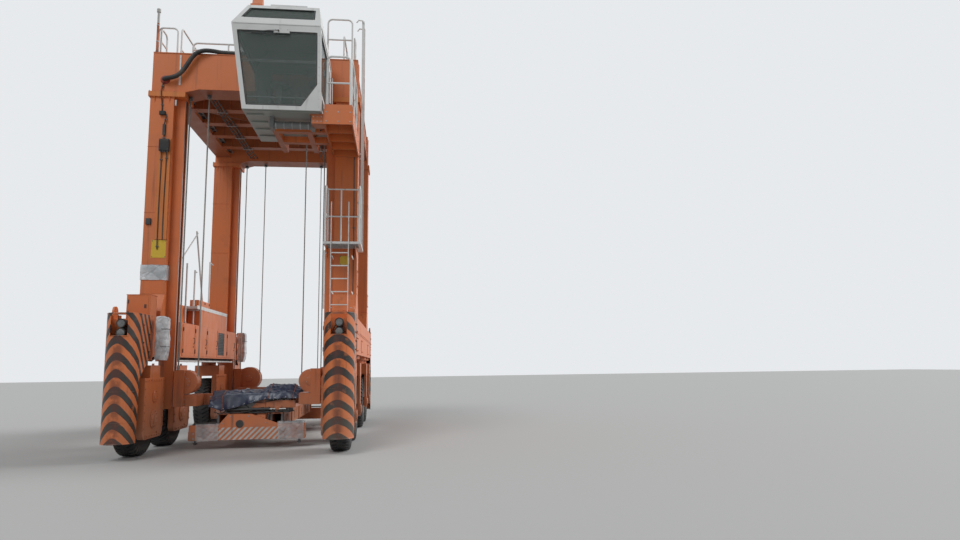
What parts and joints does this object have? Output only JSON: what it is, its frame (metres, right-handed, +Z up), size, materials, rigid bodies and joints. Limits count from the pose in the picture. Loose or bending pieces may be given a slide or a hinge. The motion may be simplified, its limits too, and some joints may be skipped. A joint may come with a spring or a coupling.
{
  "type": "straddle carrier",
  "caption": "Portal machine on steered wheels that lifts shipping containers between its legs with a telescopic spreader, under a cabin that hangs ahead of the front beam.",
  "frame": {"origin": "on the ground, under the middle of the machine's overall box", "axes": "+X to the machine's right seen from ahead of it, -Y the way the cab faces, +Z up"},
  "size_m": [5, 10.72, 10.22],
  "materials": {
    "orange_paint": "satin two-coat machine paint, dusty, with runs of dirt",
    "cab_white": "gloss white paint, lightly soiled",
    "rail_white": "white paint on steel tube",
    "glass": "tinted safety glass",
    "seat_fabric": "woven seat cover",
    "grey_plastic": "grained moulding",
    "engine_grey": "painted casting",
    "plastic_wrap": "creased transport film",
    "hose_rubber": "ribbed black hose",
    "lamp_black": "black lamp housing",
    "grating": "galvanized deck",
    "dark_steel": "greased steel",
    "tarpaulin": "woven blue tarpaulin",
    "rim_paint": "painted steel rim, dusty",
    "tyre": "dusty tread rubber"
  },
  "bodies": {
    "chassis": {"side_beam_left": "orange_paint", "side_beam_right": "orange_paint", "front_columns": "orange_paint", "rear_columns": "orange_paint", "front_beam": "orange_paint", "rear_beam": "orange_paint", "top_side_beams": "orange_paint", "top_cross_members": "orange_paint", "top_diagonals": "orange_paint", "top_deck": "grating", "wheel_guards": "orange_paint", "cab_platform": "orange_paint", "cab_body": "cab_white", "cab_glass": "glass", "cab_seat": "seat_fabric", "cab_console": "grey_plastic", "cab_belly_unit": "grey_plastic", "cab_roof_guard": "orange_paint", "ladders": "rail_white", "handrails": "rail_white", "power_pack": "orange_paint", "engine": "engine_grey", "wrapped_unit": "plastic_wrap", "beam_hose": "hose_rubber", "work_lamps": "lamp_black", "beam_equipment": "orange_paint"},
    "hoist": {"lifting_carriages": "orange_paint", "spreader_frame": "orange_paint", "spreader_drive": "dark_steel", "tarpaulin": "tarpaulin"},
    "arm_front": {"spreader_arm_front": "orange_paint", "twistlocks_front": "dark_steel"},
    "arm_rear": {"spreader_arm_rear": "orange_paint", "twistlocks_rear": "dark_steel"},
    "cab_door": {"cab_door": "cab_white", "cab_door_glass": "glass"},
    "steering_front_left": {"fork_front_left": "orange_paint"},
    "wheel_front_left": {"rim_front_left": "rim_paint", "tyre_front_left": "tyre"},
    "steering_front_right": {"fork_front_right": "orange_paint"},
    "wheel_front_right": {"rim_front_right": "rim_paint", "tyre_front_right": "tyre"},
    "steering_mid_front_left": {"fork_mid_front_left": "orange_paint"},
    "wheel_mid_front_left": {"rim_mid_front_left": "rim_paint", "tyre_mid_front_left": "tyre"},
    "steering_mid_front_right": {"fork_mid_front_right": "orange_paint"},
    "wheel_mid_front_right": {"rim_mid_front_right": "rim_paint", "tyre_mid_front_right": "tyre"},
    "steering_mid_rear_left": {"fork_mid_rear_left": "orange_paint"},
    "wheel_mid_rear_left": {"rim_mid_rear_left": "rim_paint", "tyre_mid_rear_left": "tyre"},
    "steering_mid_rear_right": {"fork_mid_rear_right": "orange_paint"},
    "wheel_mid_rear_right": {"rim_mid_rear_right": "rim_paint", "tyre_mid_rear_right": "tyre"},
    "steering_rear_left": {"fork_rear_left": "orange_paint"},
    "wheel_rear_left": {"rim_rear_left": "rim_paint", "tyre_rear_left": "tyre"},
    "steering_rear_right": {"fork_rear_right": "orange_paint"},
    "wheel_rear_right": {"rim_rear_right": "rim_paint", "tyre_rear_right": "tyre"}
  },
  "joints": [
    {"name": "hoist_lift", "type": "slide", "parent": "chassis", "child": "hoist", "axis": [0, 0, 1], "range_m": [0, 5.8]},
    {"name": "front_telescope", "type": "slide", "parent": "hoist", "child": "arm_front", "axis": [0, -1, 0], "range_m": [0, 3.07]},
    {"name": "rear_telescope", "type": "slide", "parent": "hoist", "child": "arm_rear", "axis": [0, 1, 0], "range_m": [0, 3.07]},
    {"name": "cab_door_swing", "type": "hinge", "parent": "chassis", "child": "cab_door", "pos_m": [1.78, -3.917, 7.5], "axis": [0, 0, -1], "range_deg": [0, 90]},
    {"name": "steer_front_left", "type": "hinge", "parent": "chassis", "child": "steering_front_left", "pos_m": [-2.13, -3.37, 1.9], "axis": [0, 0, 1], "range_deg": [-40, 40]},
    {"name": "spin_front_left", "type": "hinge", "parent": "steering_front_left", "child": "wheel_front_left", "pos_m": [-2.13, -3.37, 0.75], "axis": [1, 0, 0], "continuous": true},
    {"name": "steer_front_right", "type": "hinge", "parent": "chassis", "child": "steering_front_right", "pos_m": [2.13, -3.37, 1.9], "axis": [0, 0, 1], "range_deg": [-40, 40]},
    {"name": "spin_front_right", "type": "hinge", "parent": "steering_front_right", "child": "wheel_front_right", "pos_m": [2.13, -3.37, 0.75], "axis": [1, 0, 0], "continuous": true},
    {"name": "steer_mid_front_left", "type": "hinge", "parent": "chassis", "child": "steering_mid_front_left", "pos_m": [-2.13, -1.42, 1.9], "axis": [0, 0, 1], "range_deg": [-21, 21]},
    {"name": "spin_mid_front_left", "type": "hinge", "parent": "steering_mid_front_left", "child": "wheel_mid_front_left", "pos_m": [-2.13, -1.42, 0.75], "axis": [1, 0, 0], "continuous": true},
    {"name": "steer_mid_front_right", "type": "hinge", "parent": "chassis", "child": "steering_mid_front_right", "pos_m": [2.13, -1.42, 1.9], "axis": [0, 0, 1], "range_deg": [-21, 21]},
    {"name": "spin_mid_front_right", "type": "hinge", "parent": "steering_mid_front_right", "child": "wheel_mid_front_right", "pos_m": [2.13, -1.42, 0.75], "axis": [1, 0, 0], "continuous": true},
    {"name": "steer_mid_rear_left", "type": "hinge", "parent": "chassis", "child": "steering_mid_rear_left", "pos_m": [-2.13, 2.28, 1.9], "axis": [0, 0, 1], "range_deg": [-21, 21]},
    {"name": "spin_mid_rear_left", "type": "hinge", "parent": "steering_mid_rear_left", "child": "wheel_mid_rear_left", "pos_m": [-2.13, 2.28, 0.75], "axis": [1, 0, 0], "continuous": true},
    {"name": "steer_mid_rear_right", "type": "hinge", "parent": "chassis", "child": "steering_mid_rear_right", "pos_m": [2.13, 2.28, 1.9], "axis": [0, 0, 1], "range_deg": [-21, 21]},
    {"name": "spin_mid_rear_right", "type": "hinge", "parent": "steering_mid_rear_right", "child": "wheel_mid_rear_right", "pos_m": [2.13, 2.28, 0.75], "axis": [1, 0, 0], "continuous": true},
    {"name": "steer_rear_left", "type": "hinge", "parent": "chassis", "child": "steering_rear_left", "pos_m": [-2.13, 4.23, 1.9], "axis": [0, 0, 1], "range_deg": [-40, 40]},
    {"name": "spin_rear_left", "type": "hinge", "parent": "steering_rear_left", "child": "wheel_rear_left", "pos_m": [-2.13, 4.23, 0.75], "axis": [1, 0, 0], "continuous": true},
    {"name": "steer_rear_right", "type": "hinge", "parent": "chassis", "child": "steering_rear_right", "pos_m": [2.13, 4.23, 1.9], "axis": [0, 0, 1], "range_deg": [-40, 40]},
    {"name": "spin_rear_right", "type": "hinge", "parent": "steering_rear_right", "child": "wheel_rear_right", "pos_m": [2.13, 4.23, 0.75], "axis": [1, 0, 0], "continuous": true}
  ],
  "couplings": [
    {"joint": "rear_telescope", "follows": "front_telescope", "ratio": 1},
    {"joint": "steer_front_right", "follows": "steer_front_left", "ratio": 1},
    {"joint": "steer_mid_front_left", "follows": "steer_front_left", "ratio": 0.52},
    {"joint": "steer_mid_front_right", "follows": "steer_front_left", "ratio": 0.52},
    {"joint": "steer_mid_rear_left", "follows": "steer_front_left", "ratio": -0.52},
    {"joint": "steer_mid_rear_right", "follows": "steer_front_left", "ratio": -0.52},
    {"joint": "steer_rear_left", "follows": "steer_front_left", "ratio": -1},
    {"joint": "steer_rear_right", "follows": "steer_front_left", "ratio": -1}
  ]
}
